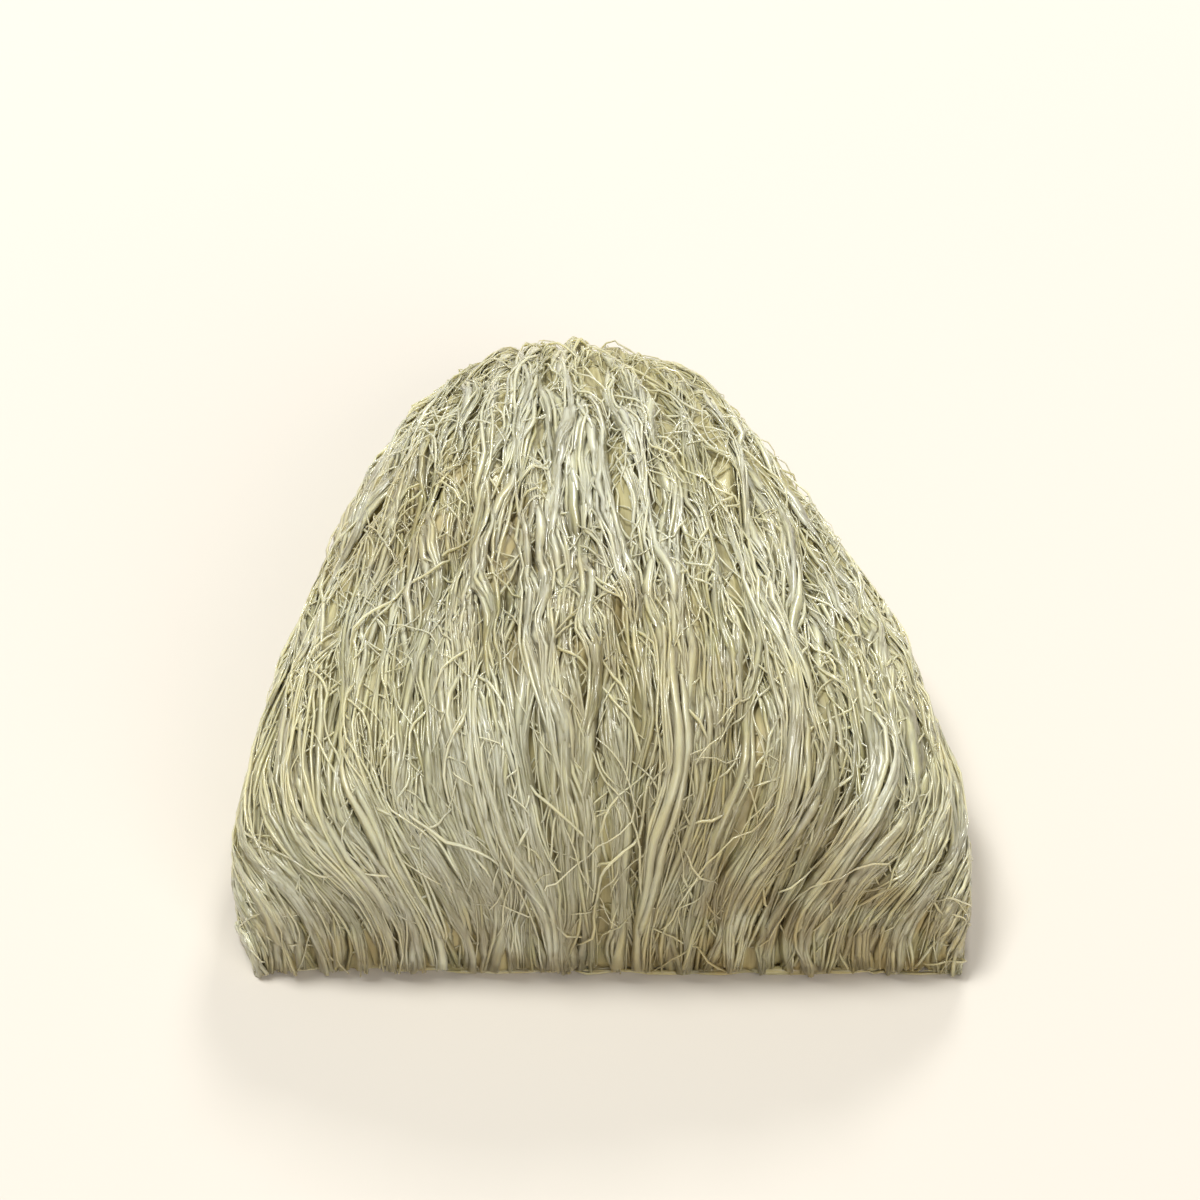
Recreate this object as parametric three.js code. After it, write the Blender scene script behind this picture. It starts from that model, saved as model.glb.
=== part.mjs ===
// A dried cup nest, spun by a swiftlet from its own saliva and lying on its rim with the hollow underneath.
// It is one fused piece: a thick fan-shaped shell, pinched at one end, whose strands show as combed ridges.
// Millimetres, +Z up. Y runs from the blunt outer end (-Y) to the pinched tip (+Y).
import * as THREE from "three";
import { mergeVertices } from "three/addons/utils/BufferGeometryUtils.js";

// Driving dimensions of the shell
const LENGTH = 76; // outer end to pinched tip
const WIDTH = 61; // across the widest part, near the outer end
const HEIGHT = 22; // crown above the surface that the rim lies on
const CROWN_WALL = 6.5; // thickness of the shell at its crown
const RIM_WALL = 5; // thickness of the shell at its rim
const LEAN = 4; // how far the pinched tip stands to the left of the outer end

// Proportions of the fan: t runs from 0 at the outer end to 1 at the tip
const TIP_SHARE = 0.3; // width left at the tip, as a share of the widest part
const TAPER_POWER = 1.9; // higher lets the fan narrow later along its length
const CORNER_SHARE = 0.16; // length over which the outer corners are rounded
const CORNER_DROP = 0.07; // width lost at the very end by that rounding
const CROWN_AT = 0.38; // where the crown is highest
const END_WALL_POWER = 4; // higher brings the shoulder closer to the outer end
const END_WALL_FULLNESS = 1 / 3; // lower makes the wall at the outer end steeper
const FALL_POWER = 2.6; // higher keeps the crown line level for longer before it falls to the tip
const FALL_FULLNESS = 0.55; // lower makes the end of that fall steeper
const END_SECTION_POWER = 0.58; // of the arch at the outer end: under 1 is fuller than an ellipse
const TIP_SECTION_POWER = 0.85; // the same at the tip

// Relief of the shell, in millimetres
const RIDGE_HEIGHT = 0.75; // a lock of strands above the shell's mean surface
const LUMP_HEIGHT = 0.9; // broad swellings under the strands
const HOLLOW_RELIEF = 0.6; // lumps of the webbing that lines the hollow
const TIP_FRAY = 1.8; // how far single locks run past the mean tip line
const END_FRAY = 0.35; // the same at the outer end
const RIM_LIFT = 1.3; // how far the rim bridges clear between the spots that it rests on
const SIDE_RELIEF = 0.7; // share of the relief that pushes the sides outward
const END_POWER = 6; // higher keeps the fray closer to the two ends
const FOOT_POWER = 14; // higher keeps the even spread of the locks closer to the two ends

// Locks of strands in half of the arch: how many, their share of the ridge, how far and how often they bend
const LOCKS = [
  { count: 5.3, share: 0.5, sway: 0.35, bends: 1.1, start: 0 },
  { count: 8.9, share: 0.45, sway: 0.3, bends: 1.7, start: 0.35 },
  { count: 13.1, share: 0.35, sway: -0.4, bends: 1.3, start: 0.6 },
];

// Swellings: waves over half of the arch and over the length, with their share of the height
const DRIFT = [
  { across: 0, along: 0.9, share: 0.05, start: 0.2 },
  { across: 1, along: 2.3, share: 0.025, start: 0 },
];
const LUMPS = [
  { across: 0.8, along: 0.7, share: 0.6, start: 0.15 },
  { across: 1.5, along: -1.3, share: 0.4, start: 0.55 },
];
const WEBBING = [
  { across: 2.1, along: 1.4, share: 1, start: 0 },
  { across: 4.7, along: -3.1, share: 0.5, start: 0 },
];

// Bridges of the rim: how many along a long side, where they start, and how much of a wave touches down
const BRIDGES = { count: 1.6, start: -0.15, sideStep: 0.1, touch: 0.2, edgePower: 8 };
const BRIDGE_SPAN = { from: 0.2, risen: 0.35, falling: 0.8, to: 0.95 };

// Mesh density: columns across the arch, rows along it
const ACROSS = 64;
const ALONG = 28;

const wave = (turns) => Math.sin(2 * Math.PI * turns);
const mix = (a, b, share) => a + (b - a) * share;
const smooth = (from, to, value) => THREE.MathUtils.smoothstep((value - from) / (to - from), 0, 1);

// Half of the fan's width at t, with the outer corners rounded off.
function halfWidth(t) {
  const taper = 1 - (1 - TIP_SHARE) * Math.pow(t, TAPER_POWER);
  const corner = Math.max(0, 1 - t / CORNER_SHARE);
  return (WIDTH / 2) * taper * (1 - CORNER_DROP * corner * corner);
}

// The crown line at t as a share of the height: a steep wall at the outer end, a long fall to the tip.
function crownShare(t) {
  if (t < CROWN_AT) return Math.pow(1 - Math.pow(1 - t / CROWN_AT, END_WALL_POWER), END_WALL_FULLNESS);
  const fall = (t - CROWN_AT) / (1 - CROWN_AT);
  return Math.pow(1 - Math.pow(fall, FALL_POWER), FALL_FULLNESS);
}

// The sum of a list of swellings. across is -1 to 1 over the arch.
function swelling(waves, across, t) {
  return waves.reduce((sum, w) => sum + w.share * wave(w.across * across + w.along * t + w.start), 0);
}

// Locks of strands: ridges that run along the fan, drift sideways and join.
function lockRelief(across, t) {
  const drifted = across + swelling(DRIFT, across, t);
  const bend = (lock) => lock.sway * wave(lock.bends * t + lock.start);
  const ridge = (lock) => wave(lock.count * drifted + bend(lock) + lock.start);
  return LOCKS.reduce((sum, lock) => sum + lock.share * ridge(lock), 0);
}

// Where the long sides of the rim bridge clear of the surface: zero at both ends and between the bridges.
function rimLift(across, t) {
  const start = BRIDGES.start + BRIDGES.sideStep * Math.sign(across);
  const bridge = Math.max(0, wave(BRIDGES.count * t + start) - BRIDGES.touch);
  const edge = Math.pow(Math.abs(across), BRIDGES.edgePower);
  const risen = smooth(BRIDGE_SPAN.from, BRIDGE_SPAN.risen, t);
  const falling = smooth(BRIDGE_SPAN.to, BRIDGE_SPAN.falling, t);
  return RIM_LIFT * bridge * edge * risen * falling;
}

// A point of the shell. across and along run from -1 to 1; outer is true on the convex side.
function shellPoint(across, along, outer) {
  const t = (1 - Math.cos((Math.PI * (along + 1)) / 2)) / 2;
  const endward = 2 * t - 1;
  const endness = Math.pow(Math.abs(endward), END_POWER);
  const footing = Math.pow(Math.abs(endward), FOOT_POWER);
  const side = mix(Math.sin((Math.PI / 2) * across), across, footing);
  const sectionPower = mix(END_SECTION_POWER, TIP_SECTION_POWER, t);
  const arch = Math.pow(Math.max(0, 1 - side * side), sectionPower / 2);

  const back = RIDGE_HEIGHT * lockRelief(across, t) + LUMP_HEIGHT * swelling(LUMPS, across, t);
  const relief = outer ? back : HOLLOW_RELIEF * swelling(WEBBING, across, t);
  const wall = outer ? 0 : RIM_WALL;
  const roof = outer ? 0 : CROWN_WALL;

  const fray = outer ? arch * lockRelief(across, CROWN_AT) * (endward > 0 ? TIP_FRAY : END_FRAY) : 0;
  const reach = (LENGTH / 2 - wall) * endward + Math.sign(endward) * endness * fray;
  const lean = mix(LEAN / 2, -LEAN / 2, t);
  const spread = halfWidth(t) - wall + SIDE_RELIEF * relief * (1 - endness);
  const rise = crownShare(t) * (HEIGHT - roof + relief);
  return new THREE.Vector3(lean + spread * side, reach, rimLift(across, t) + rise * arch);
}

// The shell is a slab bent over: its top is the combed back, its underside the hollow, its edges the rim.
function shellGeometry() {
  const slab = new THREE.BoxGeometry(2, 2, 2, ACROSS, ALONG, 1);
  slab.deleteAttribute("normal");
  slab.deleteAttribute("uv");
  const shell = mergeVertices(slab);
  const position = shell.getAttribute("position");
  for (let i = 0; i < position.count; i++) {
    const point = shellPoint(position.getX(i), position.getY(i), position.getZ(i) > 0);
    position.setXYZ(i, point.x, point.y, point.z);
  }
  shell.computeBoundingBox();
  const { min, max } = shell.boundingBox;
  shell.translate(-(min.x + max.x) / 2, -(min.y + max.y) / 2, -min.z);
  shell.computeVertexNormals();
  return shell;
}

const saliva = new THREE.MeshStandardMaterial({ color: 0xc4bd93, roughness: 0.45, metalness: 0 });

const nest = new THREE.Mesh(shellGeometry(), saliva);
nest.name = "nest";

const group = new THREE.Group();
group.name = "edible_birds_nest";
group.add(nest);

export default group;
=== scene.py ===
import math

import bpy
import numpy as np
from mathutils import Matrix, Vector


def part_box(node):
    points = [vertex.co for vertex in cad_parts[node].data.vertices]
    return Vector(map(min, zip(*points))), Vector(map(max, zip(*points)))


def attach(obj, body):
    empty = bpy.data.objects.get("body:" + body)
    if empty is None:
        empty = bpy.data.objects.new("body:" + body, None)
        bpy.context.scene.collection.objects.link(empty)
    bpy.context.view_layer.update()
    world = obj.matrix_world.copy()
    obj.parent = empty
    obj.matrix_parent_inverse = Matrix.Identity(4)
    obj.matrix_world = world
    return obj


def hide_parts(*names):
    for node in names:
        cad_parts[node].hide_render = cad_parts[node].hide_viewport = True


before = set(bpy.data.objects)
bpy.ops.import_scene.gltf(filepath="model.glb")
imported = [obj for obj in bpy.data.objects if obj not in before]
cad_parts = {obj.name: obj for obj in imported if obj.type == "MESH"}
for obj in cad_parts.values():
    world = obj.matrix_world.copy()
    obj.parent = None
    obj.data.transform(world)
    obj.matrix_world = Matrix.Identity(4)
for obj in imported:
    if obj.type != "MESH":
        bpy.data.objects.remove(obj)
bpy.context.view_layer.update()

# Fused body
# The nest is a half-moon cup that a swiftlet spins from its own saliva, strand over strand, until they fuse.
# Under the outermost strands it is one dense, horn-like mass. It lies on its rim with the hollow underneath.
MM = 0.001
shell_length = 76.0
shell_width = 61.0
shell_height = 22.0
crown_wall = 6.5
rim_wall = 5.0
lean = 4.0
tip_share = 0.3
taper_power = 1.9
corner_share = 0.16
corner_drop = 0.07
crown_at = 0.38
end_wall_power = 4.0
end_wall_fullness = 1 / 3
fall_power = 2.6
fall_fullness = 0.55
end_section_power = 0.58
tip_section_power = 0.85
ridge_height = 0.75
lump_height = 0.9
hollow_relief = 0.6
tip_fray = 1.8
end_fray = 0.35
rim_lift = 1.3
bridge_count = 1.6
bridge_start = -0.15
bridge_side_step = 0.1
bridge_touch = 0.2
bridge_edge_power = 8
side_relief = 0.7
end_power = 6
foot_power = 14
locks = [(5.3, 0.5, 0.35, 1.1, 0.0), (8.9, 0.45, 0.3, 1.7, 0.35), (13.1, 0.35, -0.4, 1.3, 0.6)]
drift = [(0.0, 0.9, 0.05, 0.2), (1.0, 2.3, 0.025, 0.0)]
lumps = [(0.8, 0.7, 0.6, 0.15), (1.5, -1.3, 0.4, 0.55)]
webbing = [(2.1, 1.4, 1.0, 0.0), (4.7, -3.1, 0.5, 0.0)]


def wave(turns):
    return np.sin(2 * np.pi * turns)


def mix(a, b, share):
    return a + (b - a) * share


def smooth(start, end, value):
    share = np.clip((value - start) / (end - start), 0, 1)
    return share * share * (3 - 2 * share)


def swelling(waves, across, t):
    return sum(share * wave(a * across + b * t + start) for a, b, share, start in waves)


def lock_relief(across, t):
    drifted = across + swelling(drift, across, t)
    return sum(
        share * wave(count * drifted + sway * wave(bends * t + start) + start)
        for count, share, sway, bends, start in locks
    )


def half_width(t):
    taper = 1 - (1 - tip_share) * t**taper_power
    corner = np.maximum(0, 1 - t / corner_share)
    return shell_width / 2 * taper * (1 - corner_drop * corner**2)


def crown_share(t):
    before = np.clip(1 - t / crown_at, 0, 1)
    after = np.clip((t - crown_at) / (1 - crown_at), 0, 1)
    return (1 - before**end_wall_power) ** end_wall_fullness * (1 - after**fall_power) ** fall_fullness


def bridge_lift(across, t):
    """How far the long sides of the rim clear the surface, between the spots that touch down."""
    start = bridge_start + bridge_side_step * np.sign(across)
    bridge = np.maximum(0, wave(bridge_count * t + start) - bridge_touch)
    edge = np.abs(across) ** bridge_edge_power
    return rim_lift * bridge * edge * smooth(0.2, 0.35, t) * smooth(0.95, 0.8, t)


def shell(across, t, inside):
    """A point of the shell in millimetres. across is -1 to 1 over the arch, t is 0 to 1 along it."""
    endward = 2 * t - 1
    endness = np.abs(endward) ** end_power
    side = mix(np.sin(np.pi / 2 * across), across, np.abs(endward) ** foot_power)
    arch = np.maximum(0, 1 - side**2) ** (mix(end_section_power, tip_section_power, t) / 2)
    if inside:
        relief = hollow_relief * swelling(webbing, across, t)
        wall, roof, fray = rim_wall, crown_wall, 0.0
    else:
        relief = ridge_height * lock_relief(across, t) + lump_height * swelling(lumps, across, t)
        wall, roof = 0.0, 0.0
        fray = arch * lock_relief(across, crown_at) * np.where(endward > 0, tip_fray, end_fray)
    reach = (shell_length / 2 - wall) * endward + np.sign(endward) * endness * fray
    spread = half_width(t) - wall + side_relief * relief * (1 - endness)
    rise = crown_share(t) * (shell_height - roof + relief)
    x = mix(lean / 2, -lean / 2, t) + spread * side
    return np.stack([x, reach, bridge_lift(across, t) + rise * arch], -1)


def grid(columns, rows):
    """across and along of a net of points that is closest along the two long sides."""
    sideways = np.sin(np.pi / 2 * np.linspace(-1, 1, columns))
    return np.meshgrid(sideways, np.linspace(0, 1, rows), indexing="ij")


def measure(along):
    """along gives the steep wall of the outer end its fair share of steps: this turns it into t."""
    return along**3 * (4 - 3 * along)


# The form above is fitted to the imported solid's own box.
outline_across, outline_along = grid(161, 161)
outline = shell(outline_across, measure(outline_along), False).reshape(-1, 3)
outline_low = outline.min(0)
nest_low, nest_high = (np.array(corner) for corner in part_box("nest"))
nest_size = nest_high - nest_low
fit = nest_size / (outline.max(0) - outline_low)


def back(across, along):
    return (shell(across, measure(along), False) - outline_low) * fit + nest_low


def lining(across, along):
    return (shell(across, measure(along), True) - outline_low) * fit + nest_low


def unit(vectors):
    return vectors / np.maximum(np.linalg.norm(vectors, axis=-1, keepdims=True), 1e-12)


def frames(surface, across, along):
    """The two directions of a surface, per unit of across and along, and its normal."""
    step = 0.002
    west, east = np.maximum(across - step, -1), np.minimum(across + step, 1)
    south, north = np.maximum(along - step, 0), np.minimum(along + step, 1)
    right = (surface(east, along) - surface(west, along)) / (east - west)[..., None]
    ahead = (surface(across, north) - surface(across, south)) / (north - south)[..., None]
    return right, ahead, unit(np.cross(right, ahead))


def quad_object(name, points, quads, material, values, bake_map=None):
    """A smooth mesh object from arrays. values holds named numbers or vectors, one for each point."""
    mesh = bpy.data.meshes.new(name)
    mesh.vertices.add(len(points))
    mesh.vertices.foreach_set("co", points.astype(np.float32).ravel())
    mesh.loops.add(quads.size)
    mesh.loops.foreach_set("vertex_index", quads.astype(np.int32).ravel())
    mesh.polygons.add(len(quads))
    mesh.polygons.foreach_set("loop_start", np.arange(0, quads.size, 4, dtype=np.int32))
    mesh.update(calc_edges=True)
    mesh.polygons.foreach_set("use_smooth", np.ones(len(quads), bool))
    for key, numbers in values.items():
        kind, field = ("FLOAT", "value") if numbers.ndim == 1 else ("FLOAT_VECTOR", "vector")
        attribute = mesh.attributes.new(key, kind, "POINT")
        attribute.data.foreach_set(field, numbers.astype(np.float32).ravel())
    if bake_map is not None:
        mesh.uv_layers.new(name="OFBake").uv.foreach_set("vector", bake_map.astype(np.float32).ravel())
    mesh.materials.append(material)
    piece = bpy.data.objects.new(name, mesh)
    bpy.context.scene.collection.objects.link(piece)
    return piece


class Shade:
    """A socket in a material's node tree. Arithmetic on it adds Math nodes."""

    def __init__(self, tree, socket=None):
        self.tree = tree
        self.socket = socket

    def node(self, kind, settings, inputs, output=0):
        node = self.tree.nodes.new(kind)
        for name, value in settings.items():
            setattr(node, name, value)
        for name, value in inputs.items():
            if isinstance(value, Shade):
                self.tree.links.new(value.socket, node.inputs[name])
            else:
                node.inputs[name].default_value = value
        return Shade(self.tree, node.outputs[output] if node.outputs else None)

    def math(self, operation, first, second):
        return self.node("ShaderNodeMath", {"operation": operation}, {0: first, 1: second})

    def __add__(self, other):
        return self.math("ADD", self, other)

    def __radd__(self, other):
        return self.math("ADD", other, self)

    def __sub__(self, other):
        return self.math("SUBTRACT", self, other)

    def __rsub__(self, other):
        return self.math("SUBTRACT", other, self)

    def __mul__(self, other):
        return self.math("MULTIPLY", self, other)

    def __rmul__(self, other):
        return self.math("MULTIPLY", other, self)

    def between(self, low, high):
        """0 where this is at or under low, 1 at or over high."""
        settings = {"interpolation_type": "SMOOTHSTEP"}
        return self.node("ShaderNodeMapRange", settings, {"Value": self, "From Min": low, "From Max": high})

    def blend(self, zero, one):
        """The colour zero where this is 0, the colour one where it is 1."""
        return self.node("ShaderNodeMix", {"data_type": "RGBA"}, {0: self, 6: zero, 7: one}, 2)


def paint(red, green, blue):
    """A colour for a socket, from the 0 to 255 values that a picture of it would show."""
    shares = [value / 255 for value in (red, green, blue)]
    linear = [s / 12.92 if s <= 0.04045 else ((s + 0.055) / 1.055) ** 2.4 for s in shares]
    return (*linear, 1.0)


cream = paint(231, 224, 184)
straw = paint(222, 211, 161)
olive = paint(166, 157, 109)
film = paint(188, 179, 132)
# The dark end of the fused body's range, partly painted shade in its furrows
furrow_shade = paint(134, 124, 82)
amber = paint(166, 143, 93)


def dried_saliva(name, dark, pale, yellowed, clarity, gloss):
    """Horn-like dried saliva: tone, which carries painted shade as well as the saliva's own variation, runs
    from dark to pale, browning to amber, streaks follow the comb.
    """
    material = bpy.data.materials.new(name)
    material.use_nodes = True
    material.node_tree.nodes.clear()
    shade = Shade(material.node_tree)
    place = shade.node("ShaderNodeTexCoord", {}, {}, "Object")
    combed = shade.node("ShaderNodeAttribute", {"attribute_name": "combed"}, {}, "Vector")
    tone = shade.node("ShaderNodeAttribute", {"attribute_name": "tone"}, {}, "Fac")
    browning = shade.node("ShaderNodeAttribute", {"attribute_name": "browning"}, {}, "Fac")
    stretch = (2.2, 0.12, 2.2)
    drawn = shade.node("ShaderNodeVectorMath", {"operation": "MULTIPLY"}, {0: combed, 1: stretch})
    grain = {"Vector": drawn, "Scale": 1.0, "Detail": 4.0, "Roughness": 0.6}
    streak = shade.node("ShaderNodeTexNoise", {}, grain)
    patch = shade.node("ShaderNodeTexNoise", {}, {"Vector": place, "Scale": 60.0, "Detail": 2.0})
    cloud = shade.node("ShaderNodeTexNoise", {}, {"Vector": place, "Scale": 260.0, "Detail": 3.0})
    # Painted shade comes in through tone: low-lying strands and valleys of the relief are darker
    shade_and_tone = (tone + 1.2 * (streak - 0.5) + 0.4 * (cloud - 0.5)).between(-0.1, 1.0)
    clean = patch.between(0.38, 0.64).blend(pale, yellowed)
    colour = (browning * cloud.between(0.3, 0.62)).blend(shade_and_tone.blend(dark, clean), amber)
    rough = 0.45 - 0.5 * gloss + 0.18 * cloud.between(0.35, 0.7) + 0.16 * streak
    bump = shade.node("ShaderNodeBump", {}, {"Height": streak, "Strength": 0.5, "Distance": 0.2 * MM})
    surface = shade.node(
        "ShaderNodeBsdfPrincipled",
        {},
        {
            "Base Color": colour,
            "Roughness": rough,
            "Normal": bump,
            "IOR": 1.5,
            "Subsurface Weight": clarity,
            "Subsurface Radius": (1.0, 0.85, 0.55),
            "Subsurface Scale": 1.3 * MM,
            "Coat Weight": gloss,
            "Coat Roughness": 0.1,
        },
    )
    shade.node("ShaderNodeOutputMaterial", {}, {"Surface": surface})
    return material


def browning_at(points):
    """How brown the saliva is: most at the pinched tip, low on the outer end and in broad stains."""
    share = (points - nest_low) / nest_size
    tip = smooth(0.82, 1.0, share[..., 1])
    outer_end = smooth(0.2, 0.0, share[..., 1]) * smooth(0.8, 0.1, share[..., 2])
    stain = smooth(0.2, 0.9, wave(0.9 * share[..., 0] + 1.1 * share[..., 1] + 0.55))
    rim = smooth(0.3, 0.0, share[..., 2])
    return np.clip(0.5 * tip + 0.5 * outer_end + 0.45 * stain + 0.25 * rim, 0, 0.8)


def slab_quads(columns, rows):
    """Quads of two grids, the first facing out, the second facing in, and the wall between their edges."""
    top = np.arange(columns * rows).reshape(columns, rows)
    under = top + columns * rows

    def sheet(index):
        corners = [index[:-1, :-1], index[1:, :-1], index[1:, 1:], index[:-1, 1:]]
        return np.stack(corners, -1).reshape(-1, 4)

    ring = np.concatenate([top[:-1, 0], top[-1, :-1], top[:0:-1, -1], top[0, :0:-1]])
    after = np.roll(ring, -1)
    wall = np.stack([ring, ring + columns * rows, after + columns * rows, after], -1)
    return np.concatenate([sheet(top), sheet(under)[:, ::-1], wall])


body_columns = 210
body_rows = 110
back_inset = 0.3 * MM
lining_inset = 0.5 * MM
rim_clearance = 0.2 * MM
furrows = [(33.0, 0.5, 0.9, 2.1, 0.0), (47.0, 0.4, 1.3, 1.7, 0.4), (61.0, 0.3, -1.1, 2.9, 0.7)]
furrow_depth = 0.22 * MM
body_across, body_along = grid(body_columns, body_rows)
edge_margin = 1e-5
end_margin = 0.004
body_across = body_across * (1 - edge_margin)
body_along = np.clip(body_along, end_margin, 1 - end_margin)
combed_relief = sum(
    share * wave(count * body_across + sway * wave(bends * body_along + start) + start)
    for count, share, sway, bends, start in furrows
)
body_inset = (back_inset - furrow_depth * combed_relief)[..., None]
body_back = back(body_across, body_along) - body_inset * frames(back, body_across, body_along)[2]
body_lining = lining(body_across, body_along) + lining_inset * frames(lining, body_across, body_along)[2]
body_points = np.concatenate([body_back.reshape(-1, 3), body_lining.reshape(-1, 3)])
body_points[:, 2] = mix(rim_clearance, nest_size[2], body_points[:, 2] / nest_size[2])
half_arc = 42.0
comb_lines = np.stack([half_arc * body_across, shell_length * measure(body_along), 0 * body_along], -1)
# Painted shade: the back is paler on its ridges and darker in its furrows and between the locks
back_relief_shade = 0.5 + 0.25 * combed_relief + 0.3 * lock_relief(body_across, measure(body_along))
body_shade = np.concatenate([back_relief_shade.ravel(), np.full(back_relief_shade.size, 0.5)])
fused_body = quad_object(
    "fused_body",
    body_points,
    slab_quads(body_columns, body_rows),
    dried_saliva("fused_saliva", furrow_shade, film, film, clarity=0.2, gloss=0.15),
    {
        "tone": body_shade,
        "browning": browning_at(body_points),
        "combed": np.tile(comb_lines.reshape(-1, 3), (2, 1)),
    },
)
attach(fused_body, "root")
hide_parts("nest")

# Combed locks
# The thick strands run lengthwise from the pinched tip over the crown and down the wall of the outer end.
# They dried in twisted locks of several that part and join, some drawn out flat like ribbons.
lowest = np.array([-1 + 1e-6, 0.004])
highest = np.array([1 - 1e-6, 0.994])
# A strand whose end lies past one of these has reached the rim.
outer_rim = 0.02
tip_rim = 0.985


def travelled(points):
    """How far along a line of points each one is, as a share of the whole."""
    lengths = np.linalg.norm(np.diff(points, axis=0), axis=1)
    return np.concatenate([[0.0], np.cumsum(lengths)]) / lengths.sum()


def evenly(surface, shares):
    """Turns shares of the real way over a surface, sideways and lengthwise, into its across and along."""
    track = np.linspace(0, 1, 400)
    sideways = np.sin(np.pi * (track - 0.5))
    across = np.interp(shares[..., 0], travelled(surface(sideways, np.full_like(track, 0.5))), sideways)
    along = np.interp(shares[..., 1], travelled(surface(0 * track, track)), track)
    return np.stack([across, along], -1)


def wander(rng, distance, longest):
    """Smooth random values along each strand, about -1 to 1."""
    count = len(distance)
    total = np.zeros_like(distance)
    for octave in range(3):
        phase = rng.uniform(0, 1, (count, 1))
        length = longest / 2**octave * rng.uniform(0.8, 1.25, (count, 1))
        total += wave(distance / length + phase) / 2**octave
    return total / 1.75


def along_path(paths, rows, share):
    """Points at shares of the way along some of the paths."""
    place = share * (paths.shape[1] - 1)
    before = np.clip(place.astype(int), 0, paths.shape[1] - 2)
    return mix(paths[rows, before], paths[rows, before + 1], (place - before)[..., None])


def walk(surface, start, heading, length):
    """Paths over a surface that end at its edge. Each step's heading is measured from the comb direction."""
    count, steps = heading.shape
    path = np.empty((count, steps, 2))
    path[:, 0] = np.clip(start, lowest, highest)
    stride = length[:, 0] / (steps - 1)
    for k in range(1, steps):
        right, ahead, _ = frames(surface, *path[:, k - 1].T)
        sideways = stride * np.sin(heading[:, k]) / np.linalg.norm(right, axis=-1)
        onward = stride * np.cos(heading[:, k]) / np.linalg.norm(ahead, axis=-1)
        path[:, k] = np.clip(path[:, k - 1] + np.stack([sideways, onward], -1), lowest, highest)
    inside = ((path > lowest) & (path < highest)).all(-1)
    inside[:, 0] = True
    last = np.where(inside.all(1), steps - 1, np.argmin(inside, axis=1))
    share = last[:, None] / (steps - 1) * np.linspace(0, 1, steps)
    return along_path(path, np.arange(count)[:, None], share), last > 3


def strand_map(count, steps, sides):
    """A bake map with one cell for each strand: its skin unrolled, with its two end caps above and below."""
    columns = math.ceil(math.sqrt(count * steps / (2 * sides)))
    rows = math.ceil(count / columns)
    cell = np.stack([np.arange(count) % columns, np.arange(count) // columns], -1)[:, None, None, None]
    i, j = np.meshgrid(np.arange(steps - 1), np.arange(sides), indexing="ij")
    around = np.stack([j, j, j + 1, j + 1], -1) / sides
    onward = np.stack([i, i + 1, i + 1, i], -1) / (steps - 1)
    skin = np.stack([mix(0.06, 0.94, around), mix(0.06, 0.94, onward)], -1)[None]
    cap = np.array([(0.1, 0.0), (0.9, 0.0), (0.9, 1.0), (0.1, 1.0)])
    first = cap * [1, 0.03] + [0, 0.01]
    final = cap * [1, 0.03] + [0, 0.96]
    size = np.array([columns, rows])
    parts = [(cell + uv) / size for uv in (skin, first[None, None, None], final[None, None, None])]
    return np.concatenate([part.reshape(-1, 2) for part in parts])


def strand_object(name, material, surface, path, level, width, flatness, tone):
    """Closed four-sided tubes along paths at a level above a surface, with painted shade that makes them
    paler where they stand up and darker where they lie low.
    """
    sides = 4
    count, steps = path.shape[:2]
    facing = 1 if surface is back else -1
    normal = facing * frames(surface, path[..., 0], path[..., 1])[2]
    middle = surface(path[..., 0], path[..., 1]) + level[..., None] * normal
    middle[..., 2] = np.maximum(middle[..., 2], width)
    tangent = unit(np.gradient(middle, axis=1))
    sideways = unit(np.cross(tangent, normal))
    upward = np.cross(sideways, tangent)
    turn = 2 * np.pi * np.arange(sides) / sides
    breadth = (width[..., None] * np.cos(turn))[..., None] * sideways[:, :, None]
    thickness = ((width * flatness)[..., None] * np.sin(turn))[..., None] * upward[:, :, None]
    points = (middle[:, :, None] + breadth + thickness).reshape(-1, 3)

    index = np.arange(len(points)).reshape(count, steps, sides)
    beside = np.roll(index, -1, axis=2)
    skin = np.stack([index[:, :-1], index[:, 1:], beside[:, 1:], beside[:, :-1]], -1).reshape(-1, 4)
    quads = np.concatenate([skin, index[:, 0], index[:, -1, ::-1]])
    # Painted shade: the lower a strand lies the darker it is, the higher it stands the paler
    tone_with_shade = tone + 0.35 * level / MM
    length = np.linalg.norm(np.diff(middle, axis=1, prepend=middle[:, :1]), axis=-1).cumsum(1) / MM
    number = np.broadcast_to(np.arange(count)[:, None, None], (count, steps, sides))
    around = width[..., None] / MM * np.cos(turn)
    comb_line = np.stack([number + around, np.repeat(length[..., None], sides, 2), 0 * around], -1)
    values = {
        "tone": np.repeat(tone_with_shade.ravel(), sides),
        "browning": browning_at(points),
        "combed": comb_line.reshape(-1, 3),
    }
    return quad_object(name, points, quads, material, values, strand_map(count, steps, sides))


def held(path, share):
    """1 along a strand, 0 at ends that dip into the body. Ends that reach the rim stay up."""
    first = np.where(path[:, :1, 1] < outer_rim, 1, smooth(0, 0.14, share))
    final = np.where(path[:, -1:, 1] > tip_rim, 1, smooth(1, 0.86, share))
    return first * final


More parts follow.
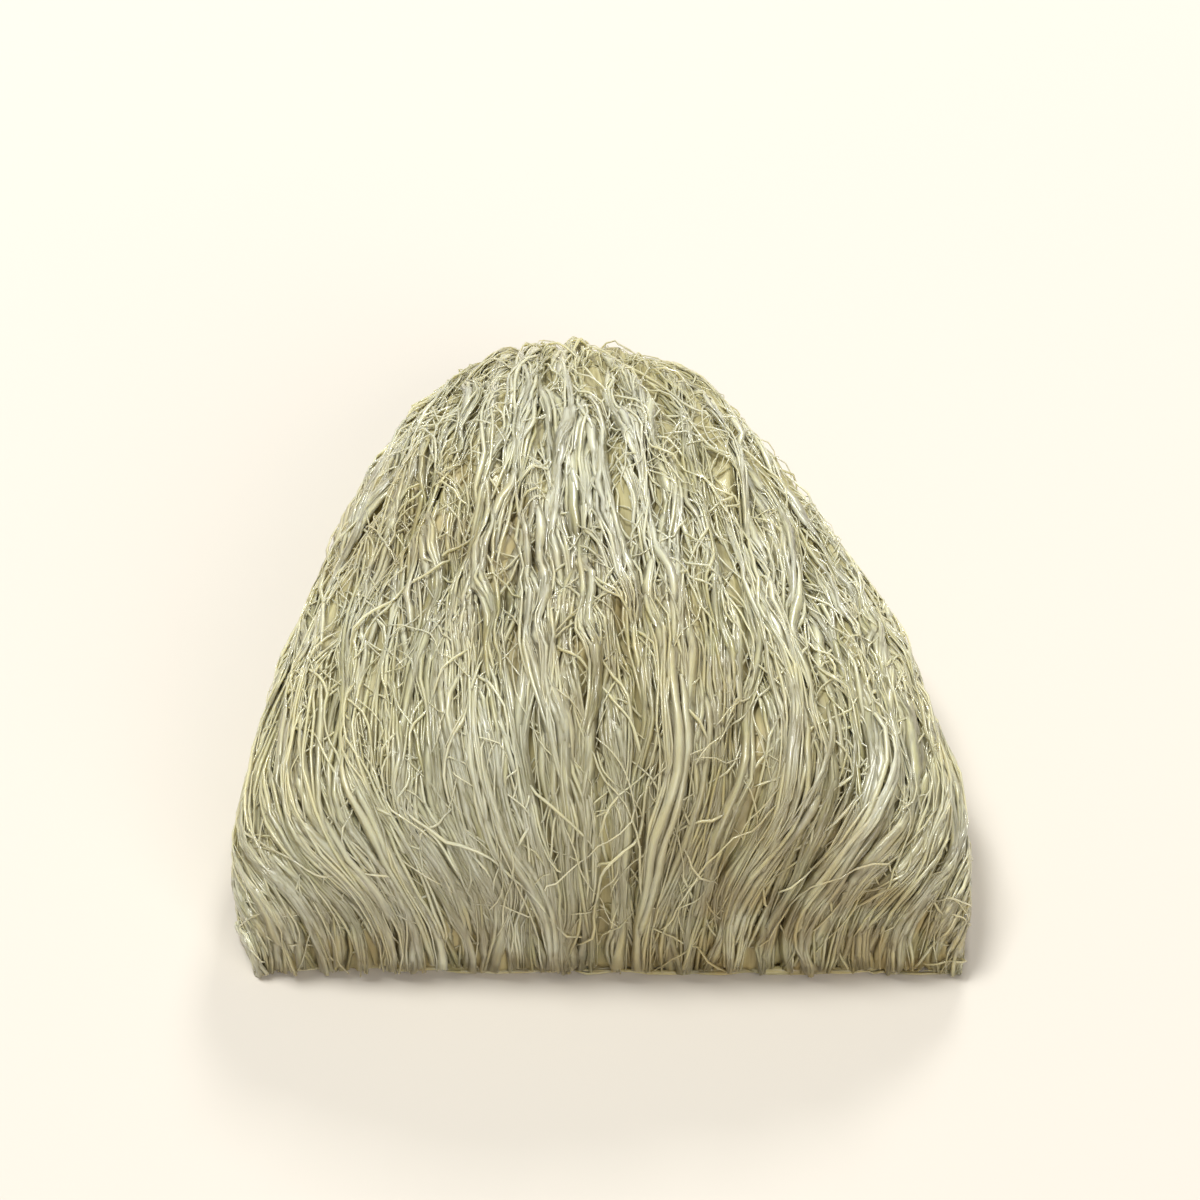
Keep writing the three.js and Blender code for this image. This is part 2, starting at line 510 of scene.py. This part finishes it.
def spin(rng, surface, start, slant, curl, length, height, weave, width, flatness, tone, steps):
    """Draws strands over a surface. The pairs are the least and most, or the mean and spread for tone."""
    count = len(start)
    share = np.linspace(0, 1, steps)[None]
    run = rng.uniform(*length, (count, 1)) * MM
    distance = run * share
    heading = slant + curl * wander(rng, distance, 13 * MM)
    path, kept = walk(surface, evenly(surface, start), heading, run)
    up = held(path, share)
    level = rng.uniform(*height, (count, 1)) + weave * wander(rng, distance, 8 * MM)
    level = mix(-0.6, level, up) * MM
    girth = np.exp(rng.uniform(*np.log(width), (count, 1))) * (1 + 0.25 * wander(rng, distance, 9 * MM))
    girth = girth * mix(0.4, 1, up) * MM
    flat = rng.uniform(*flatness, (count, 1))
    tones = rng.normal(*tone, (count, 1))
    return path[kept], level[kept], girth[kept], flat[kept], tones[kept]


strand_saliva = dried_saliva("strand_saliva", olive, cream, straw, clarity=0.55, gloss=0.5)
comb_rng = np.random.default_rng(23)
spread_count = 225
corner_count = 24
lock_count = spread_count + corner_count
lock_steps = 36
strands_in_lock = 15
comb_steps = 20
golden_ratio = 0.618034
raised_share = 0.2
ribbon_share = 0.16
strand_widths = (0.06, 0.24)
ribbon_widths = (0.25, 0.5)
twist_length = 70 * MM

spread_shares = comb_rng.uniform([0.0, -0.55], [1.0, 0.72], (spread_count, 2))
spread_shares[:, 0] = (np.arange(spread_count) * golden_ratio) % 1.0
corner_shares = comb_rng.uniform([0.0, -0.1], [0.03, 0.05], (corner_count, 2))
corner_shares[::2, 0] = 1 - corner_shares[::2, 0]
lock_shares = np.concatenate([spread_shares, corner_shares])
lock_run = comb_rng.uniform(28, 60, (lock_count, 1)) * MM
lock_distance = lock_run * np.linspace(0, 1, lock_steps)
lock_heading = comb_rng.normal(0, 0.07, (lock_count, 1)) + 0.16 * wander(comb_rng, lock_distance, 26 * MM)
lock_curl = comb_rng.uniform(0, 0.3, (lock_count, 1))
lock_heading = lock_heading + lock_curl * wander(comb_rng, lock_distance, 12 * MM)
lock_path, lock_kept = walk(back, evenly(back, lock_shares), lock_heading, lock_run)
lock_raised = comb_rng.uniform(0, 1, lock_count) < raised_share
lock_level = comb_rng.uniform(-0.2, 0.2, lock_count) + 0.45 * lock_raised
# Random tone, plus painted light: raised locks are paler
lock_tone_and_shade = comb_rng.normal(0.44, 0.2, lock_count) + 0.25 * lock_raised
lock_girth = comb_rng.uniform(0.6, 1.9, lock_count)

owner = np.repeat(np.flatnonzero(lock_kept), strands_in_lock)[:, None]
strand_count = len(owner)
comb_share = np.linspace(0, 1, comb_steps)[None]
window_start = comb_rng.uniform(0, 0.3, (strand_count, 1))
window_start = np.where(lock_path[owner, 0, 1] < outer_rim, 0.25 * window_start, window_start)
window_end = comb_rng.uniform(0.62, 1, (strand_count, 1))
window_end = np.where(lock_path[owner, -1, 1] > tip_rim, mix(1, window_end, 0.25), window_end)
window = mix(window_start, window_end, comb_share)
comb_path = along_path(lock_path, owner, window)
comb_distance = lock_run[owner, 0] * window

pressed = mix(0.5, 1, smooth(0.12, 0.36, comb_path[..., 1]) * smooth(1, 0.9, comb_path[..., 1]))
swell = lock_girth[owner] * np.sqrt(np.sin(np.pi * mix(0.06, 0.94, window)))
twist = comb_distance / twist_length + comb_rng.uniform(0, 1, (strand_count, 1))
sway = swell * comb_rng.uniform(0.1, 1.0, (strand_count, 1)) * wave(twist) * MM
sway = sway + 0.2 * MM * wander(comb_rng, comb_distance, 14 * MM)
comb_right = np.linalg.norm(frames(back, comb_path[..., 0], comb_path[..., 1])[0], axis=-1)
comb_path[..., 0] = np.clip(comb_path[..., 0] + sway / comb_right, lowest[0], highest[0])
comb_up = held(comb_path, comb_share)
comb_level = lock_level[owner] + 0.22 * swell * wave(twist + 0.25)
comb_level = comb_level + 0.1 * wander(comb_rng, comb_distance, 9 * MM)
comb_level = mix(-0.5, pressed * comb_level, comb_up) * MM
comb_girth = np.exp(comb_rng.uniform(*np.log(strand_widths), (strand_count, 1)))
ribbon = comb_rng.uniform(0, 1, (strand_count, 1)) < ribbon_share
comb_girth = np.where(ribbon, comb_rng.uniform(*ribbon_widths, (strand_count, 1)), comb_girth)
comb_girth_change = 1 + 0.25 * wander(comb_rng, comb_distance, 12 * MM)
comb_width = comb_girth * comb_girth_change * mix(0.4, 1, comb_up) * MM
comb_flatness = np.where(ribbon, 0.2, mix(0.95, 0.45, smooth(*strand_widths, comb_girth)))
comb_tone_and_shade = lock_tone_and_shade[owner] + comb_rng.normal(0, 0.1, (strand_count, 1))
# Painted shade: strands in the valleys of the lock relief are darker, those on its ridges paler
comb_tone_and_shade = comb_tone_and_shade + 0.3 * lock_relief(comb_path[..., 0], measure(comb_path[..., 1]))
combed = [comb_path, comb_level, comb_width, comb_flatness, comb_tone_and_shade]
comb_quarter = np.digitize(comb_path[:, :, 0].mean(1), np.quantile(comb_path[..., 0], [0.25, 0.5, 0.75]))
for quarter, side_name in enumerate(("far_left", "left", "right", "far_right")):
    strands = [values[comb_quarter == quarter] for values in combed]
    locks_piece = strand_object(f"combed_locks_{side_name}", strand_saliva, back, *strands)
    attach(locks_piece, "root")

# Fine net
# Hair-thin threads of saliva cross each other slantwise among the thick strands.
# They bridge the gaps between the locks, and dried where they were drawn out.
net_rng = np.random.default_rng(11)
net_count = 1200
fine_net = strand_object(
    "fine_net",
    strand_saliva,
    back,
    *spin(
        net_rng,
        back,
        start=net_rng.uniform([0.0, 0.0], [1.0, 0.92], (net_count, 2)),
        slant=net_rng.normal(0, 0.55, (net_count, 1)),
        curl=0.45,
        length=(5, 16),
        height=(-0.35, 0.35),
        weave=0.25,
        width=(0.05, 0.11),
        flatness=(0.8, 1.0),
        tone=(0.6, 0.15),
        steps=13,
    ),
)
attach(fine_net, "root")

# Crossing strands
# Later strands were drawn slantwise over the combed ones and tie the locks together.
# They make an open net of diamonds, closest on the shoulder above the outer end.
cross_rng = np.random.default_rng(37)
cross_count = 470
cross_sideways = cross_rng.uniform(0.02, 0.98, cross_count)
cross_shares = np.stack([cross_sideways, cross_rng.beta(1.8, 3.4, cross_count)], -1)
cross_lean = cross_rng.choice([-1, 1], (cross_count, 1))
crossing = strand_object(
    "crossing_strands",
    strand_saliva,
    back,
    *spin(
        cross_rng,
        back,
        start=cross_shares,
        slant=cross_lean * cross_rng.uniform(0.2, 0.8, (cross_count, 1)),
        curl=0.5,
        length=(10, 30),
        height=(0.0, 0.5),
        weave=0.25,
        width=(0.05, 0.14),
        flatness=(0.5, 1.0),
        # Their paler tone is partly a painted highlight, standing for the glints on the shoulder
        tone=(0.75, 0.15),
        steps=22,
    ),
)
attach(crossing, "root")

# Hollow net
# The cup is lined with a rough, springy net like a loofah, drawn to and fro by the bird.
# Its threads run every way and stand clear of each other.
hollow_rng = np.random.default_rng(53)
hollow_count = 620
hollow_net = strand_object(
    "hollow_net",
    strand_saliva,
    lining,
    *spin(
        hollow_rng,
        lining,
        start=hollow_rng.uniform([0.03, 0.04], [0.97, 0.96], (hollow_count, 2)),
        slant=hollow_rng.uniform(-np.pi, np.pi, (hollow_count, 1)),
        curl=0.6,
        length=(8, 26),
        height=(-0.2, 0.8),
        weave=0.4,
        width=(0.1, 0.28),
        flatness=(0.6, 1.0),
        tone=(0.5, 0.15),
        steps=16,
    ),
)
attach(hollow_net, "root")

# Rim strands
# The rim is a thick lip of strands that run round the mouth of the cup and lie on the surface.
# They bind the ends of the combed strands to the lining.
rim_turns = [0.0, 0.25, 0.5, 0.75, 1.0]
rim_blur = np.linspace(-0.015, 0.015, 7)


def edge(surface, around):
    """The edge of a surface, from 0 to 1 round the mouth of the cup."""
    turn = around % 1
    across = np.interp(turn, rim_turns, [-1, -1, 1, 1, -1])
    along = np.interp(turn, rim_turns, [0, 1, 1, 0, 0])
    return surface(across, along)


def rim(inward, around):
    """The lip, from inward -1 at its outer edge to 1 at its inner edge. around is 0 to 1 round the mouth."""
    outer = sum(edge(back, around + shift) for shift in rim_blur) / len(rim_blur)
    return mix(outer, edge(lining, around), (inward[..., None] + 1) / 2)


rim_rng = np.random.default_rng(71)
rim_count = 320
rim_strands = strand_object(
    "rim_strands",
    strand_saliva,
    rim,
    *spin(
        rim_rng,
        rim,
        start=rim_rng.uniform([0.05, 0.0], [0.95, 0.985], (rim_count, 2)),
        slant=rim_rng.normal(0, 0.12, (rim_count, 1)),
        curl=0.2,
        length=(10, 28),
        height=(-0.2, 0.3),
        weave=0.2,
        width=(0.12, 0.4),
        flatness=(0.4, 0.9),
        tone=(0.45, 0.15),
        steps=18,
    ),
)
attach(rim_strands, "root")

# Floor, light and camera
# A plain cream floor, with a soft key light from the upper left, a fill and a light from behind.
# The camera looks down at the blunt outer end, close by, so that the tip recedes.
floor_half = 2.0
floor_corners = [(-1, -1), (1, -1), (1, 1), (-1, 1)]
floor_mesh = bpy.data.meshes.new("floor")
floor_mesh.from_pydata([(x * floor_half, y * floor_half, 0) for x, y in floor_corners], [], [(0, 1, 2, 3)])
floor = bpy.data.objects.new("floor", floor_mesh)
bpy.context.scene.collection.objects.link(floor)
floor_paint = bpy.data.materials.new("floor_paint")
floor_paint.use_nodes = True
floor_shader = floor_paint.node_tree.nodes["Principled BSDF"]
floor_shader.inputs["Base Color"].default_value = paint(214, 207, 198)
floor_shader.inputs["Roughness"].default_value = 0.9
floor_mesh.materials.append(floor_paint)

target = Vector((0.0, -0.002, 0.008))


def soft_light(name, place, size, watts, colour):
    lamp = bpy.data.lights.new(name, "AREA")
    lamp.size = size
    lamp.energy = watts
    lamp.color = colour
    light = bpy.data.objects.new(name, lamp)
    light.location = place
    light.rotation_euler = (target - Vector(place)).to_track_quat("-Z", "Y").to_euler()
    bpy.context.scene.collection.objects.link(light)


soft_light("key", (-0.44, 0.2, 1.3), 0.44, 17.0, (0.97, 0.99, 0.97))
soft_light("fill", (0.7, -1.2, 0.7), 1.0, 11.0, (1.0, 0.98, 0.94))
soft_light("behind", (0.2, 0.94, 0.72), 0.24, 6.4, (0.98, 1.0, 0.98))

world = bpy.data.worlds.new("studio")
world.use_nodes = True
world.node_tree.nodes["Background"].inputs["Color"].default_value = (1.0, 0.97, 0.9, 1.0)
world.node_tree.nodes["Background"].inputs["Strength"].default_value = 0.3
bpy.context.scene.world = world
bpy.context.scene.view_settings.view_transform = "Standard"

camera_distance = 0.26
camera_elevation = math.radians(41.5)
lens = bpy.data.cameras.new("camera")
lens.lens = 88
camera = bpy.data.objects.new("camera", lens)
away = Vector((0, -math.cos(camera_elevation), math.sin(camera_elevation)))
camera.location = target + camera_distance * away
camera.rotation_euler = (-away).to_track_quat("-Z", "Y").to_euler()
bpy.context.scene.collection.objects.link(camera)
bpy.context.scene.camera = camera
